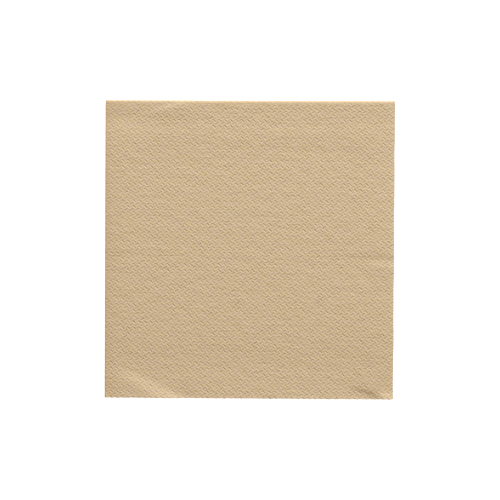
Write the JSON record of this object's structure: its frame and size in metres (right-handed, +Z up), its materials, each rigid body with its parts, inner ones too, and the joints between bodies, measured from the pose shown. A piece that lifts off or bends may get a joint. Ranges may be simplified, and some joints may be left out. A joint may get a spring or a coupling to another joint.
{
  "type": "paper napkin",
  "caption": "Flat quarter-folded napkin of kraft-brown tissue, with a tight crease on one side, a soft rolled fold on the next and an all-over pressed basket pattern.",
  "frame": {"origin": "middle of the bounding box, on the surface that the napkin lies on", "axes": "+Z up out of the top layer, +Y towards the rolled second fold, +X towards the cut edges that face the creased first fold at -X"},
  "size_m": [0.0974, 0.1002, 0.002],
  "materials": {
    "kraft_tissue": "unbleached soft tissue, fully matt, with a fine pressed pattern"
  },
  "bodies": {
    "root": {"napkin_sheet": "kraft_tissue"}
  },
  "joints": []
}
